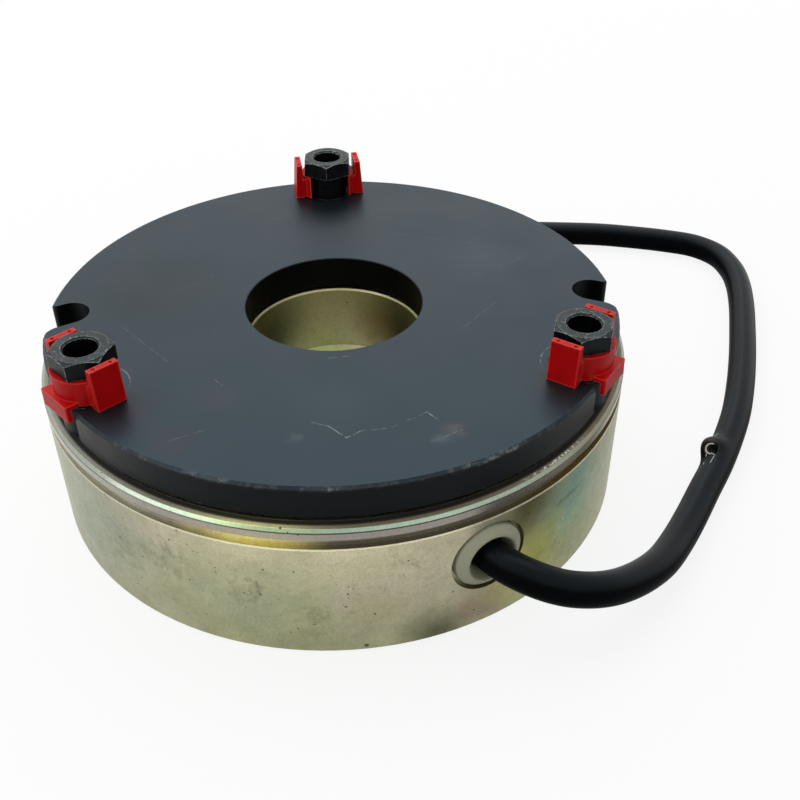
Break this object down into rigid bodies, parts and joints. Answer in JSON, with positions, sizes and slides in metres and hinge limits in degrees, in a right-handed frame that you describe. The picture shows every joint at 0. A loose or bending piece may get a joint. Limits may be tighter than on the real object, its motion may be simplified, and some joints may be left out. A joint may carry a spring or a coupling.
{
  "type": "spring applied brake",
  "caption": "Spring applied electromagnetic brake stator with armature plate, hollow sleeve bolts, red transport clips and a supply cable.",
  "frame": {"origin": "on the brake axis at the rear face of the magnet housing", "axes": "+Z along the brake axis from the rear face to the armature plate, +Y towards the rear sleeve bolt"},
  "size_m": [0.2538, 0.2195, 0.0645],
  "materials": {
    "zinc_plated_steel": "satin",
    "plate_steel": "satin",
    "black_oxide_steel": "satin",
    "red_plastic": "matte",
    "bobbin_plastic": "matte",
    "copper_wire": "satin",
    "casting_resin": "matte",
    "spring_steel": "satin",
    "grommet_nylon": "matte",
    "cable_sheath": "matte",
    "core_brown": "matte",
    "core_blue": "matte",
    "tinned_copper": "satin"
  },
  "bodies": {
    "stator": {"magnet_housing": "zinc_plated_steel", "coil_bobbin": "bobbin_plastic", "coil_winding": "copper_wire", "potting_ring": "casting_resin", "sleeve_bolt_rear": "black_oxide_steel", "sleeve_bolt_left": "black_oxide_steel", "sleeve_bolt_right": "black_oxide_steel", "compression_spring_1": "spring_steel", "compression_spring_2": "spring_steel", "compression_spring_3": "spring_steel", "compression_spring_4": "spring_steel", "compression_spring_5": "spring_steel", "compression_spring_6": "spring_steel", "cable_grommet": "grommet_nylon", "supply_cable": "cable_sheath", "lead_core_1": "core_brown", "lead_core_2": "core_blue", "end_ferrules": "tinned_copper"},
    "armature": {"armature_plate": "plate_steel"},
    "clip_rear": {"transport_clip_rear": "red_plastic"},
    "clip_left": {"transport_clip_left": "red_plastic"},
    "clip_right": {"transport_clip_right": "red_plastic"}
  },
  "joints": [
    {"name": "armature_lift", "type": "slide", "parent": "stator", "child": "armature", "axis": [0, 0, 1], "range_m": [-0.0013, 0], "stiffness_N_per_m": 2000, "springref_m": 0.01, "deforming": ["compression_spring_1", "compression_spring_2", "compression_spring_3", "compression_spring_4", "compression_spring_5", "compression_spring_6"]},
    {"name": "clip_rear_pull", "type": "slide", "parent": "stator", "child": "clip_rear", "axis": [-0.1045, 0.9945, 0], "range_m": [0, 0.03]},
    {"name": "clip_left_pull", "type": "slide", "parent": "stator", "child": "clip_left", "axis": [-0.766, -0.6428, 0], "range_m": [0, 0.03]},
    {"name": "clip_right_pull", "type": "slide", "parent": "stator", "child": "clip_right", "axis": [0.788, -0.6157, 0], "range_m": [0, 0.03]}
  ]
}
